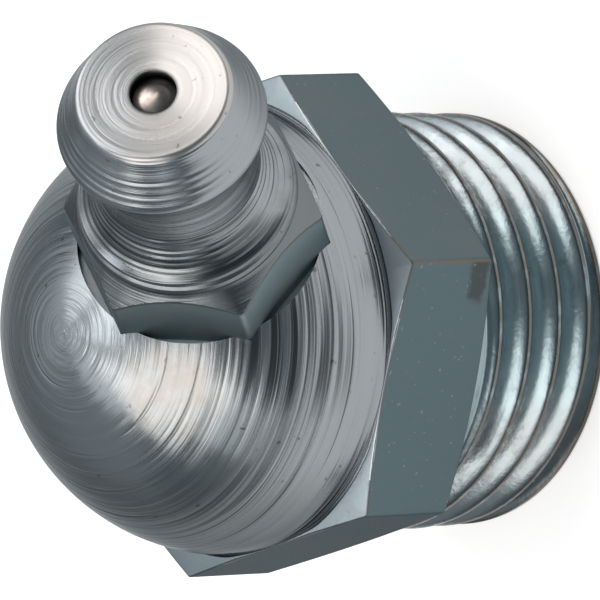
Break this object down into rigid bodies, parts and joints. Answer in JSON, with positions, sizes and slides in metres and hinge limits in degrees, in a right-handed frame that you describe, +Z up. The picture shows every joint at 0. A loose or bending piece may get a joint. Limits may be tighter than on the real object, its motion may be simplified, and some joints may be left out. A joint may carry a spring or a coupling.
{
  "type": "angled grease nipple",
  "caption": "Angled 45 degree hydraulic grease nipple with a domed hexagon, a threaded shank and a spring-loaded ball valve in its coupling head.",
  "frame": {"origin": "centre of the hexagon's seating face, where the threaded shank starts", "axes": "+Z runs up the thread axis from the thread to the dome, and the head leans 45 degrees from +Z towards +X in the plane Y = 0"},
  "size_m": [0.0193, 0.0162, 0.0222],
  "materials": {
    "plated_body": "zinc plated, with turning marks",
    "plated_head": "zinc plated, finely turned",
    "ball_steel": "polished ball",
    "spring_wire": "drawn wire"
  },
  "bodies": {
    "fitting": {"body": "plated_body", "head": "plated_head", "ball_spring": "spring_wire"},
    "ball": {"check_ball": "ball_steel"}
  },
  "joints": [
    {"name": "ball_lift", "type": "slide", "parent": "fitting", "child": "ball", "axis": [-0.7071, 0, -0.7071], "range_m": [0, 0.0008], "stiffness_N_per_m": 150, "springref_m": -0.002, "deforming": ["ball_spring"]}
  ]
}
